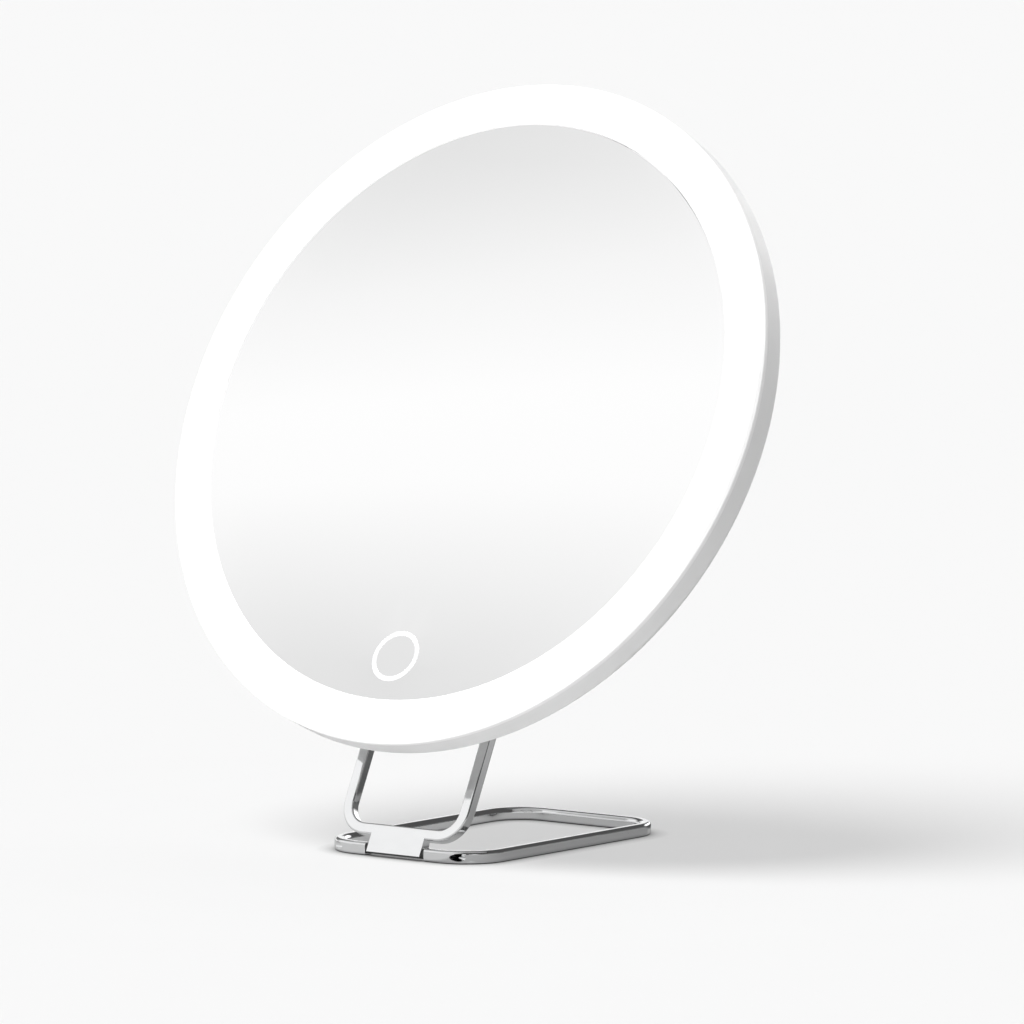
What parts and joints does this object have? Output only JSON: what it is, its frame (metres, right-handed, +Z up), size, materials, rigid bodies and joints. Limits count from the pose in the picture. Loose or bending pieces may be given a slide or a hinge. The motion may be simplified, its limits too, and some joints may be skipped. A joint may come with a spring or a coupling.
{
  "type": "lighted magnifying mirror",
  "caption": "Slim round concave mirror in a lit opal ring, tilting on a folding chromed stand made of a base loop and a leaning arm loop, with a touch ring low on the glass.",
  "frame": {"origin": "middle of the base loop's footprint, on the table", "axes": "+Z up, X along both hinges, the mirror faces -Y and leans back towards +Y"},
  "size_m": [0.175, 0.09, 0.1874],
  "materials": {
    "chrome_plate": "polished plating on a die-cast bar",
    "pin_steel": "ground",
    "screw_steel": "zinc plated",
    "washer_plastic": "moulded",
    "cover_white": "satin moulded",
    "carrier_white": "moulded",
    "diffuser_opal": "opal, lit from behind",
    "mirror_silver": "silvered, concave",
    "tape_foam": "adhesive foam",
    "board_white": "white solder mask",
    "board_green": "green solder mask",
    "chip_light": "light chip",
    "touch_light": "translucent, lit from behind",
    "guide_clear": "clear moulded",
    "chip_black": "moulded",
    "plug_white": "moulded",
    "socket_steel": "drawn shell",
    "battery_foil": "pouch foil",
    "lead_red": "insulated wire",
    "lead_black": "insulated wire"
  },
  "bodies": {
    "base": {"base_frame": "chrome_plate", "base_hinge_pin": "pin_steel", "base_hinge_washers": "washer_plastic"},
    "arm": {"arm_frame": "chrome_plate", "head_hinge_pin": "pin_steel", "head_hinge_washers": "washer_plastic"},
    "head": {"head_hinge_leaf": "chrome_plate", "leaf_screws": "screw_steel", "rear_cover": "cover_white", "cover_screws": "screw_steel", "light_diffuser": "diffuser_opal", "mirror_glass": "mirror_silver", "mirror_tape": "tape_foam", "mirror_carrier": "carrier_white", "light_board": "board_white", "light_chips": "chip_light", "touch_ring": "touch_light", "touch_light_guide": "guide_clear", "touch_board": "board_green", "touch_chips": "chip_light", "control_board": "board_green", "board_screws": "screw_steel", "board_chips": "chip_black", "battery_plug": "plug_white", "socket_shell": "socket_steel", "socket_tongue": "chip_black", "battery_cell": "battery_foil", "battery_tape": "tape_foam", "battery_leads": "lead_red", "light_leads": "lead_black", "touch_leads": "lead_black"}
  },
  "joints": [
    {"name": "base_fold", "type": "hinge", "parent": "base", "child": "arm", "pos_m": [0, -0.0383, 0.00155], "axis": [1, 0, 0], "range_deg": [-64, 10]},
    {"name": "head_tilt", "type": "hinge", "parent": "arm", "child": "head", "pos_m": [0, -0.00904, 0.06691], "axis": [1, 0, 0], "range_deg": [-60, 10]}
  ]
}
